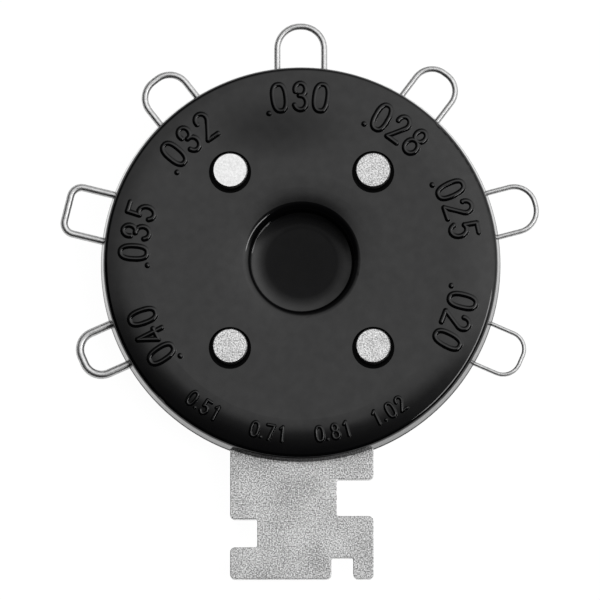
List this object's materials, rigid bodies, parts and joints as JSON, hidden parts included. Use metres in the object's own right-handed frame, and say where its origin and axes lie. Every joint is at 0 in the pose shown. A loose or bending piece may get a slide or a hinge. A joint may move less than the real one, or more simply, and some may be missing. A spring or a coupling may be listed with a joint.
{
  "type": "spark plug gap gauge",
  "caption": "Round black spark plug gap gauge with seven wire loops of different gauge, four rivets and a flat notched blade for bending the side electrode.",
  "frame": {"origin": "the case's axis at its flat back face", "axes": "+Z out of the numbered front face, the blade points along -Y, +X to the right as the numbers are seen"},
  "size_m": [0.0583, 0.0683, 0.0064],
  "materials": {
    "case_plastic": "gloss",
    "blade_steel": "satin",
    "wire_steel": "bright drawn",
    "rivet_metal": "satin"
  },
  "bodies": {
    "root": {"front_cover": "case_plastic", "back_cover": "case_plastic", "bending_blade": "blade_steel", "wire_020": "wire_steel", "wire_025": "wire_steel", "wire_028": "wire_steel", "wire_030": "wire_steel", "wire_032": "wire_steel", "wire_035": "wire_steel", "wire_040": "wire_steel", "rivet_upper_left": "rivet_metal", "rivet_upper_right": "rivet_metal", "rivet_lower_left": "rivet_metal", "rivet_lower_right": "rivet_metal"}
  },
  "joints": []
}
